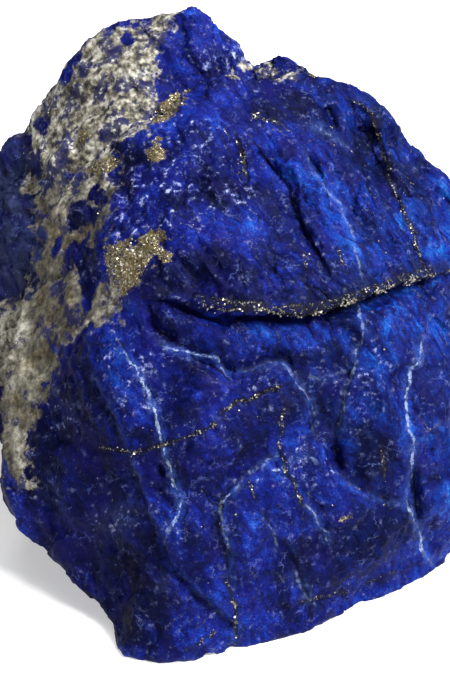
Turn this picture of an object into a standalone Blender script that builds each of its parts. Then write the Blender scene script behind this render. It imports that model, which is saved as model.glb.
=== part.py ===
# Lapis lazuli stone: one rough broken piece that rests on a flat underside

import math

import bmesh
import bpy
import numpy as np
from mathutils import Vector, noise

# All lengths in this file are millimetres until the last step.
# X runs across the stone, Y from its front to its back, Z up.
MM_TO_M = 0.001
SKIN_GRAIN = 0.8
TRIANGLE_GOAL = 9600

# The stone is drawn from one side: from in front and above, this steep and far.
DRAWN_STEEPNESS = math.radians(35)
DRAWN_DISTANCE = 420.0
DRAWN_CENTRE = np.array([0.0, 0.0, 36.0])

# Small break faces: how far apart, how tilted, how deep they may bite.
WIDE_CHIPS = (9.0, 0.10, 0.55)
SMALL_CHIPS = (4.6, 0.09, 0.18)

# Corners of the big front block, from its foot up to its top ridge
FRONT_BLOCK = [
    # underside, carried below the ground plane and cut off there
    (-9.0, -30.0, -3), (-4.4, -30.4, -3), (3.7, -27.4, -3), (11.3, -24.9, -3),
    (17.6, -20.8, -3), (26.8, -14.6, -3), (33.0, -9.6, -3), (38.0, 1.5, -3),
    (37.0, 18.0, -3), (27.0, 32.0, -3), (-16.0, 34.0, -3), (-16.0, 0.0, -3),
    (-9.0, -30.6, 3), (-4.4, -31.0, 1.2), (3.7, -28.0, 1.2), (11.3, -25.4, 1.2),
    # lower left edge, which hangs clear of the ground
    (-16.8, -22.6, 2.4), (-23.0, -19.7, 6), (-29.4, -13.2, 9), (-31.2, -12.2, 10),
    # edge between the shaded left face and the front face
    (-19.7, -4.0, 38), (-16.6, -11.7, 34), (-13.5, -16.6, 28.5), (-10.7, -20.8, 21.5),
    (-9.3, -24.6, 15.5), (-6.9, -27.6, 10),
    # front face
    (-2.9, -29.4, 8), (-2.9, -22.2, 22.5), (-2.9, -15.5, 36),
    (11.2, -22.6, 11), (11.1, -19.2, 20), (11.0, -15.1, 28), (11.0, -10.6, 36),
    (28.6, -14.2, 12.5), (28.3, -10.6, 25), (28.4, -2.4, 35.5),
    (34.1, -10.0, 13), (33.8, -4.8, 28), (39.0, -2.6, 17),
    # the long step across the front
    (-11.0, -4.7, 46), (2.2, -7.1, 45.5), (11.0, -5.5, 43.5), (17.7, -2.5, 44),
    (26.4, 6.2, 41.5), (34.6, 14.5, 38.5),
    # upper slope
    (-8.8, -2.0, 49.5), (2.2, -4.5, 48.5), (14.0, -1.7, 47.5), (26.4, 9.4, 45.5),
    (-3.7, 10.1, 54), (11.3, 12.9, 54), (25.2, 19.3, 50), (-3.8, 20.4, 60), (11.5, 25.9, 58.5),
    # top ridge, from the right down to the left
    (41.6, 11.2, 20), (41.4, 18.8, 30), (39.2, 26.2, 38.6), (34.8, 28.2, 45.6), (32.8, 28.6, 47.6),
    (28.4, 29.2, 50.2), (25.9, 32.0, 53.8), (21.2, 35.2, 57.6), (17.9, 35.4, 59.7),
    (12.4, 36.0, 61), (0.8, 33.6, 62.3), (-4.6, 31.8, 62.3), (-11.4, 24.4, 59.3),
    (-14.8, 23.3, 56.5), (-18.4, 23.6, 54.5),
    # left edge of the blue rock, where the pale host rock begins
    (-22.3, 12.1, 46.5), (-22.6, 4.1, 40), (-25.4, 3.7, 32), (-27.3, -2.2, 26),
    (-28.2, -6.9, 21), (-29.8, -10.2, 15),
    # back
    (37.0, 27.0, 16), (28.0, 38.0, 36), (24.0, 38.5, 50), (11.0, 43.0, 48), (14.0, 44.5, 30),
    (25.0, 38.0, 10), (6.0, 41.0, 12), (-12.0, 40.0, 30),
]

# The toe at the foot of the front edge
FRONT_TOE = [
    (-15.0, -29.6, -3), (-14.2, -30.6, -3), (-9.9, -31.6, -3), (-4.4, -31.0, -3),
    (-15.2, -29.9, 0.8), (-14.4, -31.0, 0.8), (-9.9, -32.0, 1.0), (-4.4, -31.4, 1.0),
    (-16.6, -23.8, 2.5), (-15.0, -21.0, -3), (-9.3, -24.7, 15.0), (-12.0, -24.0, 14.0),
    (-3.0, -29.4, 8.0), (0.0, -20.0, -3), (0.0, -20.0, 6),
]

# The lobe that stands behind the block and carries the peak
BACK_LOBE = [
    (-31.8, 45.3, 45), (-29.2, 43.6, 51), (-26.6, 43.0, 55.4), (-23.7, 44.0, 60),
    (-20.5, 45.0, 62.7), (-16.5, 45.5, 64.8), (-11.8, 45.5, 65.5), (-5.5, 45.0, 67.5),
    (-2.4, 44.0, 66.1), (1.9, 42.5, 62.1), (3.8, 40.0, 59.8),
    (-4.7, 34.8, 59.2), (2.3, 37.0, 59.4), (-15.6, 30.5, 56.4), (-25.9, 30.5, 48.2),
    (-29.0, 33.0, 43.6), (-27.0, 24.0, 30), (-6.0, 24.0, 35),
    (-3.0, 48.5, 50), (-14.0, 51.0, 46), (-23.0, 49.0, 46), (6.0, 45.5, 40), (7.0, 46.0, 20),
    (-29.0, 46.0, 26), (-14.0, 49.0, 14),
    (8.0, 37.0, -3), (-4.0, 42.0, -3), (-22.0, 41.0, -3), (-27.0, 22.0, -3),
]

# A low hump on the ridge between the peak and the right shoulder
RIDGE_HUMP = [
    (4.2, 38.8, 60.0), (6.8, 39.8, 61.5), (9.8, 40.0, 62.0), (11.6, 38.6, 61.5),
    (13.0, 36.0, 61.0), (5.0, 34.5, 59.0), (5.0, 44.0, 50), (14.0, 42.0, 50), (8.0, 32.0, 52),
]

# The flank of pale host rock on the left
PALE_FLANK = [
    (-18.4, 23.8, 54.5), (-25.7, 27.0, 46.5), (-29.5, 22.0, 41), (-30.2, 14.4, 33),
    (-33.9, 1.2, 23.5), (-34.2, -4.2, 18), (-33.8, -7.7, 13), (-33.0, -9.4, 11),
    (-30.4, -12.2, 11), (-29.8, -10.2, 15.5), (-28.2, -6.9, 21.3), (-27.3, -2.2, 26.3),
    (-25.4, 3.7, 32.4), (-22.6, 4.3, 40.2), (-22.3, 12.1, 46.7),
    (-27.0, -2.0, 4), (-30.0, 6.0, 5), (-27.0, 24.0, 6), (-14.0, 20.0, 20),
    (-23.0, -3.0, -3), (-28.5, 8.0, -3), (-27.0, 24.0, -3), (-12.0, 10.0, -3),
]

# The shoulder furthest to the left and back
LEFT_SHOULDER = [
    (-36.4, 44.9, 42), (-34.5, 45.9, 43.5), (-31.8, 45.3, 44.5), (-38.5, 41.0, 39),
    (-39.8, 32.0, 33), (-39.5, 22.0, 25), (-38.0, 12.5, 20), (-35.2, 11.0, 21.5),
    (-35.0, 23.2, 28.5), (-29.0, 27.5, 40.6), (-29.4, 17.0, 33), (-28.0, 12.0, 25),
    (-40.2, 35.0, 16), (-38.5, 18.0, 12), (-35.0, 8.0, 9), (-33.0, 45.5, 14),
    (-30.0, 12.0, -3), (-34.0, 24.0, -3), (-32.0, 37.0, -3), (-23.0, 41.0, -3), (-15.0, 20.0, -3),
]

# Lines drawn on the stone, as (across, up) from the centre of the drawn side.
LONG_STEP = [
    (-11.6, 5.6), (-7.5, 5.5), (-3.8, 4.7), (-0.5, 3.5), (2.3, 3.5), (6.8, 3.7), (11.3, 3.2),
    (14.6, 3.8), (17.3, 4.9), (20.6, 5.8), (24.0, 7.4), (27.0, 8.2), (30.0, 8.8), (35.0, 9.9),
]
STEP_TAIL = [(-11.4, 5.4), (-11.0, 2.6), (-9.8, 0.7), (-7.0, -0.4)]
STEP_HOLLOW = [(-12.0, 8.6), (-8.4, 7.8), (-4.6, 6.4), (-0.6, 5.0)]
LONG_FISSURE = [
    (3.8, 29.6), (5.6, 27.4), (8.7, 23.6), (10.0, 19.9), (12.0, 15.8), (14.0, 12.4),
    (15.5, 9.4), (16.2, 7.1),
]
FISSURE_VALLEY = [(3.4, 35.0), (5.2, 28.0), (8.6, 21.0), (12.6, 13.0), (15.0, 8.0)]
WIDE_GROOVE = [(18.8, 34.9), (20.3, 32.3), (21.8, 28.9), (23.3, 25.4), (24.8, 22.6)]
GROOVE_TAIL = [(24.8, 22.6), (26.3, 19.1), (28.5, 15.4), (29.9, 9.4)]
SHORT_FISSURES = [
    [(15.3, 35.2), (16.8, 31.4)],
    [(12.4, 27.4), (15.0, 23.9)],
    [(26.3, 23.6), (28.5, 20.9)],
    [(1.8, 28.5), (3.3, 22.5)],
    [(-6.5, 11.5), (-3.4, 7.6)],
]
NOTCH = [(-6.4, -1.7), (-3.0, -3.5), (-0.4, -4.7), (1.0, -6.6)]
RIGHT_SLOT = [(28.8, -2.0), (27.8, -6.0), (27.6, -14.0), (28.3, -20.0), (28.6, -27.0), (29.4, -32.0)]
PITS = [
    # across, up, half width, half height, depth
    (17.0, -18.0, 0.9, 2.6, 1.4),
    (28.5, -22.0, 0.6, 1.9, 1.0),
    (28.9, -26.5, 0.5, 1.6, 0.8),
    (12.8, -13.4, 0.7, 1.1, 0.8),
    (-9.6, -20.0, 0.4, 1.4, 0.6),
]
# Low ledges, as (route, height, reach, low side): +1 means the rock left of the route,
# looking along it, lies deeper.
LEDGES = [
    # upper and right rim of the raised slab beside the front edge
    ([(-9.6, -0.8), (-5.4, -2.2), (-2.0, -3.0), (0.4, -5.4), (3.8, -5.0), (6.6, -4.0),
      (8.7, -3.7), (11.0, -6.0), (12.6, -9.6), (13.0, -14.0), (11.0, -16.8)], 0.85, 6.0, 1),
    # left rim of the right-hand slab, ending at the pit
    ([(20.6, 1.8), (20.6, -1.2), (19.4, -3.8), (18.7, -7.2), (17.6, -11.8), (16.6, -15.6)],
     0.7, 5.0, -1),
    # lower rim of the hollow beside the pit
    ([(16.4, -19.6), (18.8, -22.2), (23.0, -24.4), (27.0, -25.0)], 0.6, 4.5, 1),
    # left rim of the lower slab
    ([(8.3, -17.6), (4.6, -19.6), (1.6, -22.0), (-0.5, -24.7), (-0.8, -29.0), (0.4, -32.0),
      (1.4, -38.0)], 0.6, 4.0, -1),
    # rim of the front face above the toe
    ([(-9.8, -28.9), (-8.0, -33.7), (-4.5, -37.9), (-0.5, -41.2), (2.3, -43.6)], 1.0, 4.5, -1),
    ([(9.0, -29.5), (11.5, -36.0), (13.8, -41.0)], 0.4, 3.0, -1),
]
FLANK_FURROWS = [
    [(-28.0, 24.0), (-28.6, 12.0), (-29.4, 2.0), (-31.5, -8.0), (-32.0, -18.0)],
    [(-24.5, 20.0), (-24.8, 9.0), (-26.2, 0.0), (-28.4, -9.0)],
    [(-18.0, 27.5), (-20.4, 21.0), (-22.0, 14.0), (-21.6, 6.0)],
]
# Furrows on the side that faces away, seen from the back
BACK_FURROWS = [
    [(-20.0, 14.0), (-12.0, 6.0), (-7.0, -6.0), (-5.0, -20.0)],
    [(8.0, 22.0), (12.0, 10.0), (11.0, -4.0), (16.0, -18.0)],
    [(-34.0, 2.0), (-24.0, -4.0), (-16.0, -14.0)],
    [(22.0, 8.0), (28.0, -2.0), (30.0, -14.0)],
]


def hull(name, corners):
    """Make the smallest solid that holds all the corners."""
    mesh = bpy.data.meshes.new(name)
    shape = bmesh.new()
    for corner in corners:
        shape.verts.new(corner)
    found = bmesh.ops.convex_hull(shape, input=shape.verts)
    inside = [item for item in found["geom_interior"] if isinstance(item, bmesh.types.BMVert)]
    bmesh.ops.delete(shape, geom=inside, context="VERTS")
    bmesh.ops.recalc_face_normals(shape, faces=shape.faces)
    shape.to_mesh(mesh)
    shape.free()
    solid = bpy.data.objects.new(name, mesh)
    bpy.context.collection.objects.link(solid)
    return solid


def settle(solid):
    """Turn the modifiers of an object into its plain mesh."""
    bpy.context.view_layer.update()
    evaluated = solid.evaluated_get(bpy.context.evaluated_depsgraph_get())
    solid.data = bpy.data.meshes.new_from_object(evaluated)
    solid.modifiers.clear()


def read_skin(solid):
    """Return the vertex positions and normals of an object as arrays."""
    count = len(solid.data.vertices)
    points = np.empty(count * 3)
    normals = np.empty(count * 3)
    solid.data.vertices.foreach_get("co", points)
    solid.data.vertex_normals.foreach_get("vector", normals)
    return points.reshape(-1, 3), normals.reshape(-1, 3)


def write_skin(solid, points):
    """Move the vertices of an object to the given positions."""
    solid.data.vertices.foreach_set("co", points.ravel())
    solid.data.update()


def seen_from(points, normals, turn, steepness):
    """Return across, up and how squarely each vertex faces a viewer on that side."""
    right = np.array([math.cos(turn), math.sin(turn), 0])
    away = np.array([-math.sin(turn), math.cos(turn), 0])
    forward = away * math.cos(steepness) - np.array([0, 0, math.sin(steepness)])
    upward = np.cross(right, forward)
    offset = points - DRAWN_CENTRE
    shrink = DRAWN_DISTANCE / (DRAWN_DISTANCE + offset @ forward)
    return (offset @ right) * shrink, (offset @ upward) * shrink, -(normals @ forward)


def measure_route(across, up, route):
    """Return each point's distance to a route, its side (+1 left) and its place along it."""
    best = np.full(across.shape, 1e9)
    side = np.ones(across.shape)
    place = np.zeros(across.shape)
    steps = np.array([math.dist(a, b) for a, b in zip(route, route[1:])])
    starts = np.concatenate([[0], np.cumsum(steps)])
    for index, (start, end) in enumerate(zip(route, route[1:])):
        run, rise = end[0] - start[0], end[1] - start[1]
        share = ((across - start[0]) * run + (up - start[1]) * rise) / steps[index] ** 2
        share = np.clip(share, 0, 1)
        gap = np.hypot(across - start[0] - share * run, up - start[1] - share * rise)
        turn = run * (up - start[1]) - rise * (across - start[0])
        nearer = gap < best
        best = np.where(nearer, gap, best)
        side = np.where(nearer, np.sign(turn), side)
        place = np.where(nearer, (starts[index] + share * steps[index]) / starts[-1], place)
    return best, side, place


def facing(squareness):
    """Fade a mark out where the skin turns away from the side it is drawn on."""
    return np.clip((squareness - 0.05) / 0.25, 0, 1)


def tapered(place):
    """Let a mark run out towards both of its ends."""
    return np.clip(np.minimum(place, 1 - place) / 0.15, 0.25, 1)


def groove(view, route, width, depth):
    """Return the inward push of a V-shaped groove along a route."""
    across, up, squareness = view
    gap, _, place = measure_route(across, up, route)
    return -depth * np.exp(-(gap / width) ** 2) * tapered(place) * facing(squareness)


def ledge(view, route, height, reach, low_side):
    """Return the push of a step: full height at the route, fading out on its low side."""
    across, up, squareness = view
    gap, side, place = measure_route(across, up, route)
    low = side == low_side
    drop = np.where(low, -height * np.clip(1 - gap / reach, 0, 1), 0)
    return drop * np.clip(gap / 0.5, 0, 1) * tapered(place) * facing(squareness)


def long_step(view):
    """Return the push of the long step: a lip above, a deep shadow gap below."""
    across, up, squareness = view
    gap, side, place = measure_route(across, up, LONG_STEP)
    above = side > 0
    lip = 0.9 * np.exp(-gap / 3.5)
    gap_below = -2.6 * np.exp(-(gap / 1.5) ** 2) - 0.9 * np.exp(-gap / 6.0)
    return np.where(above, lip, gap_below) * tapered(place) * facing(squareness)


def pits(view):
    """Return the push of the small pits."""
    across, up, squareness = view
    total = np.zeros(across.shape)
    for centre_x, centre_y, half_width, half_height, depth in PITS:
        reach = ((across - centre_x) / half_width) ** 2 + ((up - centre_y) / half_height) ** 2
        total -= depth * np.exp(-reach)
    return total * facing(squareness)


def chip_faces(points, normals, pattern, random):
    """Return the push that turns the skin into small, flat, slightly tilted break faces."""
    spacing, tilt, deepest = pattern
    seeds = []
    free = np.ones(len(points), dtype=bool)
    for candidate in random.permutation(len(points)):
        if free[candidate]:
            seeds.append(candidate)
            offset = points - points[candidate]
            free &= (offset ** 2).sum(axis=1) > spacing ** 2
    best = np.full(len(points), 1e9)
    push = np.zeros(len(points))
    for seed in seeds:
        # each face is a little longer one way than the other
        stretch = random.uniform(0.75, 1.35, size=3)
        plane = normals[seed] + random.normal(size=3) * tilt
        plane /= np.linalg.norm(plane)
        offset = points - points[seed]
        reach = ((offset * stretch) ** 2).sum(axis=1)
        slope = np.maximum(normals @ plane, 0.5)
        wanted = np.clip(-(offset @ plane) / slope, -deepest, deepest)
        nearer = reach < best
        best = np.where(nearer, reach, best)
        push = np.where(nearer, wanted, push)
    return push


def soften(solid):
    """Ease the small cliffs between neighbouring break faces."""
    shape = bmesh.new()
    shape.from_mesh(solid.data)
    bmesh.ops.smooth_vert(
        shape, verts=shape.verts, factor=0.5, use_axis_x=True, use_axis_y=True, use_axis_z=True)
    shape.to_mesh(solid.data)
    shape.free()


def rough(points, size, height):
    """Return a soft uneven push, as of weathered rock."""
    push = [noise.fractal(Vector(point) / size, 1.0, 2.0, 3) for point in points]
    return np.array(push) * height


def fade_at_ground(points):
    """Leave the skin alone where it lies under the ground plane, since it is cut off there."""
    return np.clip((points[:, 2] + 2.0) / 3.0, 0, 1)


def cut_flat_underside(solid):
    """Cut the stone at the ground plane and close it with one flat face."""
    shape = bmesh.new()
    shape.from_mesh(solid.data)
    everything = shape.verts[:] + shape.edges[:] + shape.faces[:]
    bmesh.ops.bisect_plane(
        shape, geom=everything, plane_co=(0, 0, 0), plane_no=(0, 0, 1), clear_inner=True)
    rim = [edge for edge in shape.edges if edge.is_boundary]
    bmesh.ops.holes_fill(shape, edges=rim, sides=0)
    bmesh.ops.dissolve_degenerate(shape, dist=0.02, edges=shape.edges)
    bmesh.ops.triangulate(shape, faces=shape.faces)
    bmesh.ops.recalc_face_normals(shape, faces=shape.faces)
    shape.to_mesh(solid.data)
    shape.free()


def stone_material():
    """Deep ultramarine, slightly dull as on a broken face."""
    material = bpy.data.materials.new("lapis_blue")
    material.use_nodes = True
    shader = material.node_tree.nodes["Principled BSDF"]
    shader.inputs["Base Color"].default_value = (0.02, 0.035, 0.30, 1)
    shader.inputs["Roughness"].default_value = 0.5
    return material


for leftover in list(bpy.data.objects):
    bpy.data.objects.remove(leftover)

# The rough form: six hulls grown into one body
stone = hull("lapis_stone", FRONT_BLOCK)
others = [
    hull("front_toe", FRONT_TOE),
    hull("back_lobe", BACK_LOBE),
    hull("ridge_hump", RIDGE_HUMP),
    hull("pale_flank", PALE_FLANK),
    hull("left_shoulder", LEFT_SHOULDER),
]
for other in others:
    union = stone.modifiers.new("union", "BOOLEAN")
    union.operation = "UNION"
    union.solver = "EXACT"
    union.object = other
settle(stone)
for other in others:
    bpy.data.objects.remove(other)

# An even skin that can take detail
remesh = stone.modifiers.new("skin", "REMESH")
remesh.mode = "VOXEL"
remesh.voxel_size = SKIN_GRAIN
settle(stone)

# Break faces, wide ones first
random = np.random.default_rng(7)
for pattern in (WIDE_CHIPS, SMALL_CHIPS):
    points, normals = read_skin(stone)
    push = chip_faces(points, normals, pattern, random) * fade_at_ground(points)
    write_skin(stone, points + normals * push[:, None])

soften(stone)

# The marks that can be named: the long step, fissures, grooves, notch, pits and ledges
points, normals = read_skin(stone)
front = seen_from(points, normals, 0, DRAWN_STEEPNESS)
push = long_step(front) + pits(front)
push += groove(front, STEP_TAIL, 1.2, 1.5)
push += groove(front, STEP_HOLLOW, 1.8, 1.0)
push += groove(front, FISSURE_VALLEY, 4.0, 0.8)
push += groove(front, LONG_FISSURE, 1.0, 1.5)
push += groove(front, WIDE_GROOVE, 1.7, 2.3)
push += groove(front, GROOVE_TAIL, 1.1, 1.1)
push += groove(front, NOTCH, 1.2, 1.5)
push += groove(front, RIGHT_SLOT, 0.9, 0.8)
for route in SHORT_FISSURES:
    push += groove(front, route, 0.9, 1.1)
for route in FLANK_FURROWS:
    push += groove(front, route, 1.6, 0.9)
for route, height, reach, low_side in LEDGES:
    push += ledge(front, route, height, reach, low_side)
back = seen_from(points, normals, math.radians(180), math.radians(15))
for route in BACK_FURROWS:
    push += groove(back, route, 1.8, 1.6)
push += rough(points, 5.0, 0.25)
push *= fade_at_ground(points)
write_skin(stone, points + normals * push[:, None])

# Fewer triangles where the rock is flat, then the flat underside
triangles = sum(len(face.vertices) - 2 for face in stone.data.polygons)
thin = stone.modifiers.new("thin", "DECIMATE")
thin.ratio = TRIANGLE_GOAL / triangles
thin.use_collapse_triangulate = True
settle(stone)
cut_flat_underside(stone)

# The origin goes to the middle of the underside's outline box
points, _ = read_skin(stone)
middle = (points.min(axis=0) + points.max(axis=0)) / 2
middle[2] = 0
write_skin(stone, (points - middle) * MM_TO_M)
stone.data.materials.clear()
stone.data.materials.append(stone_material())
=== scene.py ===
# Rough lapis lazuli stone on a plain pale table

import itertools
import math

import bpy
import numpy as np
from mathutils import Matrix, Vector, kdtree


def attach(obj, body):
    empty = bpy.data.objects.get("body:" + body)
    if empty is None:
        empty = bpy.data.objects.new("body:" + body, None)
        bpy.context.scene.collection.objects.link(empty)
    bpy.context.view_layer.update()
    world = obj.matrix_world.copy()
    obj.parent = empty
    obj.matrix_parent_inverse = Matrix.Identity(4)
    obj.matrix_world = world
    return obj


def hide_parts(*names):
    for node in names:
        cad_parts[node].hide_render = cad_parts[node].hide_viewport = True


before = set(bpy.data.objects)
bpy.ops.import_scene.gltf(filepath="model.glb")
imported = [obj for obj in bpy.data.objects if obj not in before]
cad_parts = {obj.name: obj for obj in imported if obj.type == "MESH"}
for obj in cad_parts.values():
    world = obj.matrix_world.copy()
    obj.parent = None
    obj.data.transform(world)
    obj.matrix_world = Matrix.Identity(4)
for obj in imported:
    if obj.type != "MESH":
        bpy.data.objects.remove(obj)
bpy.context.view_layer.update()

# Camera
# It stands in front of the stone and looks down on it by 35 degrees, from about arm's length,
# with a long lens. The frame is upright and cuts the stone a little on the left and right.
MM = 0.001
LOOK_AT = Vector((-0.8, -9.4, 36.0)) * MM
STEEPNESS = math.radians(35)
CAMERA_DISTANCE = 420 * MM
FRAME_HEIGHT = 101.25 * MM
SENSOR_WIDTH = 36
FARTHEST_SEEN = 10
looking = Vector((0, math.cos(STEEPNESS), -math.sin(STEEPNESS)))
camera_data = bpy.data.cameras.new("camera")
camera_data.sensor_width = SENSOR_WIDTH
camera_data.lens = SENSOR_WIDTH * CAMERA_DISTANCE / FRAME_HEIGHT
camera_data.clip_end = FARTHEST_SEEN
camera = bpy.data.objects.new("camera", camera_data)
camera.location = LOOK_AT - looking * CAMERA_DISTANCE
camera.rotation_euler = (math.pi / 2 - STEEPNESS, 0, 0)
bpy.context.collection.objects.link(camera)
bpy.context.scene.camera = camera

# The stone's skin
# One broken piece of blue rock with a flank of pale host rock. Its surface is as it broke:
# small hackly break faces, flutes down the upper slope, sharp fissures and thin ledges.
# The stone's own lengths are in millimetres, and MM makes them metres where Blender takes them.
SKIN_GRAIN = 0.27
SKIN_TRIANGLES = 194000
HIDDEN_TRIANGLES = 90000
SKIN_AREA = 21000
SKIN_SMOOTHINGS = 14


def only(thing):
    """Select one object and nothing else."""
    bpy.ops.object.select_all(action="DESELECT")
    thing.select_set(True)
    bpy.context.view_layer.objects.active = thing


def finish_with(thing, kind, **settings):
    """Add a modifier to an object and apply it."""
    only(thing)
    modifier = thing.modifiers.new(kind.lower(), kind)
    for name, value in settings.items():
        setattr(modifier, name, value)
    bpy.ops.object.modifier_apply(modifier=modifier.name)


def read_skin(thing):
    """Return the vertex positions in millimetres and the normals."""
    count = len(thing.data.vertices)
    points = np.empty(count * 3)
    normals = np.empty(count * 3)
    thing.data.vertices.foreach_get("co", points)
    thing.data.vertex_normals.foreach_get("vector", normals)
    return points.reshape(-1, 3) / MM, normals.reshape(-1, 3)


def write_skin(thing, points):
    """Move the vertices to positions given in millimetres."""
    thing.data.vertices.foreach_set("co", (points * MM).ravel())
    thing.data.update()


stone = bpy.data.objects.new("stone_skin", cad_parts["lapis_stone"].data.copy())
bpy.context.collection.objects.link(stone)
only(stone)
bpy.ops.object.mode_set(mode="EDIT")
bpy.ops.mesh.select_all(action="SELECT")
bpy.ops.mesh.remove_doubles(threshold=0.001 * MM)
bpy.ops.object.mode_set(mode="OBJECT")
finish_with(stone, "REMESH", mode="VOXEL", voxel_size=SKIN_GRAIN * MM)
finish_with(stone, "SMOOTH", factor=0.5, iterations=SKIN_SMOOTHINGS)


def seen(points, normals):
    """Return across and up on the camera's picture in millimetres, and how squarely it is seen."""
    forward = np.array(looking)
    upward = np.array([0, math.sin(STEEPNESS), math.cos(STEEPNESS)])
    offset = points - np.array(LOOK_AT) / MM
    distance = CAMERA_DISTANCE / MM
    shrink = distance / (distance + offset @ forward)
    return offset[:, 0] * shrink, (offset @ upward) * shrink, -(normals @ forward)


def soft_noise(points, size, seed):
    """Return smooth noise between -1 and 1, with features of the given size."""
    cells = 32
    lattice = np.random.default_rng(seed).uniform(-1, 1, (cells, cells, cells))
    turned = points @ np.array(Matrix.Rotation(1, 3, Vector((1, 2, 3)))) / size
    cell = np.floor(turned).astype(int)
    share = turned - cell
    share = share * share * (3 - 2 * share)
    total = np.zeros(len(points))
    for corner in itertools.product((0, 1), repeat=3):
        weight = np.where(corner, share, 1 - share).prod(axis=1)
        x, y, z = ((cell + corner) % cells).T
        total += weight * lattice[x, y, z]
    return total


def break_faces(points, normals, spacing, tilt, deepest, seed, long=(0, 0, 1), stretch=1):
    """Return the push that makes small flat break faces, drawn out along one direction."""
    # each chosen vertex owns the skin nearest to it, in space that is bent and squeezed
    random = np.random.default_rng(seed)
    warp = np.stack([soft_noise(points, spacing * 1.5, seed + axis) for axis in range(3)], axis=1)
    long = np.array(long) / np.linalg.norm(long)
    bent = points + warp * spacing * 0.5
    bent -= (bent @ long)[:, None] * long * (1 - 1 / stretch)
    chosen = random.choice(len(points), int(SKIN_AREA / spacing ** 2 / stretch), replace=False)
    along = long - (normals[chosen] @ long)[:, None] * normals[chosen]
    along /= np.linalg.norm(along, axis=1)[:, None] + 1e-6
    tree = kdtree.KDTree(len(chosen))
    for number, vertex in enumerate(chosen):
        tree.insert(bent[vertex], number)
    tree.balance()
    # the skin is pushed on to its owner's plane, which is tilted at random
    planes = normals[chosen] + random.normal(size=(len(chosen), 3)) * tilt
    planes /= np.linalg.norm(planes, axis=1)[:, None]
    owner = np.array([tree.find(point)[1] for point in bent])
    plane = planes[owner]
    offset = points - points[chosen][owner]
    offset -= (offset * along[owner]).sum(axis=1)[:, None] * along[owner] * (1 - 1 / stretch)
    slope = np.maximum((normals * plane).sum(axis=1), 0.5)
    return np.clip(-(offset * plane).sum(axis=1) / slope, -deepest, deepest)


def measure_route(across, up, route):
    """Return the distance to a route, the side of it (+1 left) and the place along it."""
    best = np.full(across.shape, 1e9)
    side = np.ones(across.shape)
    place = np.zeros(across.shape)
    steps = [math.dist(a, b) for a, b in zip(route, route[1:])]
    length = sum(steps)
    done = 0
    for start, end, step in zip(route, route[1:], steps):
        run, rise = end[0] - start[0], end[1] - start[1]
        share = np.clip(((across - start[0]) * run + (up - start[1]) * rise) / step ** 2, 0, 1)
        gap = np.hypot(across - start[0] - share * run, up - start[1] - share * rise)
        turn = run * (up - start[1]) - rise * (across - start[0])
        nearer = gap < best
        best = np.where(nearer, gap, best)
        side = np.where(nearer, np.where(turn < 0, -1, 1), side)
        place = np.where(nearer, (done + share * step) / length, place)
        done += step
    return best, side, place


# the peak is worn rounder than the rest; its place is (across, up)
PEAK = (-5.5, 47.5)
PEAK_REACH = 7
PEAK_SMOOTHINGS = 250
points, normals = read_skin(stone)
across, up, _ = seen(points, normals)
from_peak = np.hypot(across - PEAK[0], up - PEAK[1])
peak = stone.vertex_groups.new(name="peak")
for vertex in np.nonzero(from_peak < PEAK_REACH)[0]:
    peak.add([int(vertex)], 1 - from_peak[vertex] / PEAK_REACH, "REPLACE")
finish_with(stone, "SMOOTH", factor=0.5, iterations=PEAK_SMOOTHINGS, vertex_group="peak")
stone.vertex_groups.clear()

# break faces from wide to fine: (spacing, tilt, deepest, seed)
BREAKS = [(4.5, 0.11, 0.22, 11), (2.0, 0.13, 0.10, 12), (0.9, 0.16, 0.05, 13)]
for spacing, tilt, deepest, seed in BREAKS:
    points, normals = read_skin(stone)
    push = break_faces(points, normals, spacing, tilt, deepest, seed)
    write_skin(stone, points + normals * push[:, None])

points, normals = read_skin(stone)
across, up, squareness = seen(points, normals)
# only what faces the camera gets the relief that is placed on the picture
facing = np.clip((squareness - 0.05) / 0.25, 0, 1)
wobble_x = soft_noise(points, 1.4, 3) * 0.35 + soft_noise(points, 0.6, 4) * 0.15
wobble_y = soft_noise(points, 1.4, 5) * 0.35 + soft_noise(points, 0.6, 6) * 0.15
# the long step, a crack that crosses the whole front, as (across, up) on the picture
LONG_STEP = [
    (-11.6, 5.6), (-7.5, 5.5), (-3.8, 4.7), (-0.5, 3.5), (2.3, 3.5), (6.8, 3.7), (11.3, 3.2),
    (14.6, 3.8), (17.3, 4.9), (20.6, 5.8), (24.0, 7.4), (27.0, 8.2), (30.0, 8.8), (35.0, 9.9),
]
# long narrow faces run down the upper slope, from upper left to lower right
gap, side, _ = measure_route(across, up, [(-40, 8.0)] + LONG_STEP[1:] + [(60, 14)])
on_slope = np.where(side > 0, np.clip(gap / 3, 0, 1), 0) * facing
DOWN_SLOPE = (0.5, -0.6, -0.62)
flutes = break_faces(points, normals, 2.8, 0.12, 0.24, 21, long=DOWN_SLOPE, stretch=6)
flutes += break_faces(points, normals, 1.2, 0.12, 0.08, 22, long=DOWN_SLOPE, stretch=4)
push = flutes * on_slope
# the outline is trimmed or filled a little: (across, up, reach across, reach up, growth)
OUTLINE_TOUCHES = [
    (9, 40.5, 8, 3, -0.65), (8, 41.8, 3.5, 2.5, -0.3), (15, 38.6, 5, 3, -0.45), (24, 34, 3, 3, 0.3),
    (28, 29.5, 2.5, 3, -0.6), (31.8, 25.5, 3, 3, 0.2), (3.2, 42.5, 2.5, 2, 0.4),
    (-6.3, 48.8, 5, 3, 0.75), (-11.8, 48, 3, 2.5, -1.0), (-18.3, 45.2, 2.5, 2.5, 0.6),
    (-19, 43.5, 7, 5, -0.4), (-25, 38.5, 5, 6, -0.5), (-32.5, 30, 3.5, 2.5, 0.4),
    (-33.5, -14, 2.5, 6, -0.4), (-32.5, -24.5, 2.5, 4, 0.6), (-25, -34.5, 4, 4, -0.5),
    (-15.5, -45, 2.5, 4, -0.35), (29, -36, 6, 3, -0.8),
]
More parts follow.
